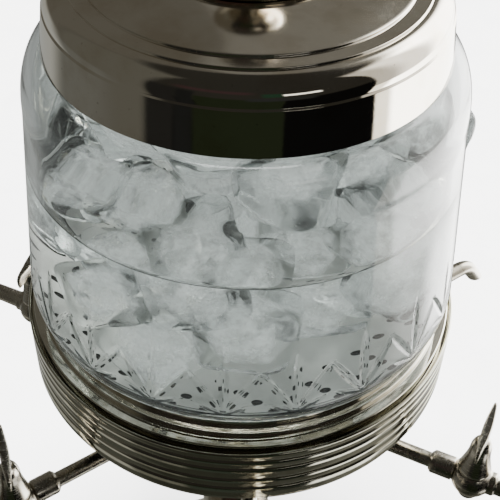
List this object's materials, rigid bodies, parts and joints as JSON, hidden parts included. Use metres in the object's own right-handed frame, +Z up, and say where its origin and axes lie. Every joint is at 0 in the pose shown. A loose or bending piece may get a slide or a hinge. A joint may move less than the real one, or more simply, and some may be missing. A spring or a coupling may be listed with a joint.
{
  "type": "absinthe fountain",
  "caption": "Tall glass water jar with a domed metal lid on a stem and round foot, with small ball taps on thin radial pipes below the jar.",
  "frame": {"origin": "middle of the foot pad's underside, on the surface that the fountain stands on", "axes": "+Z up along the column; the taps lie at 30 degrees from +X and every 60 degrees round"},
  "size_m": [0.3078, 0.355, 0.5262],
  "materials": {
    "lid_nickel": "polished warm nickel silver, mirror-like with faint polishing lines",
    "bright_nickel": "polished nickel silver with light handling wear",
    "dark_nickel": "darker cast and turned nickel silver, polished, dull in the recesses",
    "strainer_nickel": "thin satin plate with round punched holes",
    "steel": "plain machined steel",
    "weight_iron": "rough black cast iron",
    "pad_rubber": "matt black rubber",
    "gasket_rubber": "soft black rubber",
    "jar_glass": "clear pressed glass with a row of cut fans near the foot"
  },
  "bodies": {
    "base": {"foot_pad": "pad_rubber", "foot": "bright_nickel", "foot_weight": "weight_iron", "tie_rod_nut": "steel", "tie_rod_washer": "steel", "tie_rod": "steel", "stem_ring": "bright_nickel", "stem": "bright_nickel", "hub": "dark_nickel", "hub_gasket": "gasket_rubber", "drain_bushing": "bright_nickel", "pan": "bright_nickel", "collar": "bright_nickel", "jar_gasket": "gasket_rubber", "strainer": "strainer_nickel", "glass_jar": "jar_glass", "arm_pipe_1": "dark_nickel", "hub_nut_1": "steel", "union_nut_1": "dark_nickel", "tap_body_1": "dark_nickel", "arm_pipe_2": "dark_nickel", "hub_nut_2": "steel", "union_nut_2": "dark_nickel", "tap_body_2": "dark_nickel", "arm_pipe_3": "dark_nickel", "hub_nut_3": "steel", "union_nut_3": "dark_nickel", "tap_body_3": "dark_nickel", "arm_pipe_4": "dark_nickel", "hub_nut_4": "steel", "union_nut_4": "dark_nickel", "tap_body_4": "dark_nickel", "arm_pipe_5": "dark_nickel", "hub_nut_5": "steel", "union_nut_5": "dark_nickel", "tap_body_5": "dark_nickel", "arm_pipe_6": "dark_nickel", "hub_nut_6": "steel", "union_nut_6": "dark_nickel", "tap_body_6": "dark_nickel"},
    "lid_set": {"lid": "lid_nickel", "finial_base": "lid_nickel", "finial": "lid_nickel", "finial_stud": "steel", "finial_nut": "steel"},
    "key_1": {"tap_key_1": "dark_nickel", "key_nut_1": "dark_nickel"},
    "key_2": {"tap_key_2": "dark_nickel", "key_nut_2": "dark_nickel"},
    "key_3": {"tap_key_3": "dark_nickel", "key_nut_3": "dark_nickel"},
    "key_4": {"tap_key_4": "dark_nickel", "key_nut_4": "dark_nickel"},
    "key_5": {"tap_key_5": "dark_nickel", "key_nut_5": "dark_nickel"},
    "key_6": {"tap_key_6": "dark_nickel", "key_nut_6": "dark_nickel"}
  },
  "joints": [
    {"name": "lid_lift", "type": "slide", "parent": "base", "child": "lid_set", "axis": [0, 0, 1], "range_m": [0, 0.08]},
    {"name": "key_turn_1", "type": "hinge", "parent": "base", "child": "key_1", "pos_m": [0.10739, 0.062, 0.2348], "axis": [0, 0, 1], "continuous": true},
    {"name": "key_turn_2", "type": "hinge", "parent": "base", "child": "key_2", "pos_m": [0, 0.124, 0.2348], "axis": [0, 0, 1], "continuous": true},
    {"name": "key_turn_3", "type": "hinge", "parent": "base", "child": "key_3", "pos_m": [-0.10739, 0.062, 0.2348], "axis": [0, 0, 1], "continuous": true},
    {"name": "key_turn_4", "type": "hinge", "parent": "base", "child": "key_4", "pos_m": [-0.10739, -0.062, 0.2348], "axis": [0, 0, 1], "continuous": true},
    {"name": "key_turn_5", "type": "hinge", "parent": "base", "child": "key_5", "pos_m": [0, -0.124, 0.2348], "axis": [0, 0, 1], "continuous": true},
    {"name": "key_turn_6", "type": "hinge", "parent": "base", "child": "key_6", "pos_m": [0.10739, -0.062, 0.2348], "axis": [0, 0, 1], "continuous": true}
  ]
}
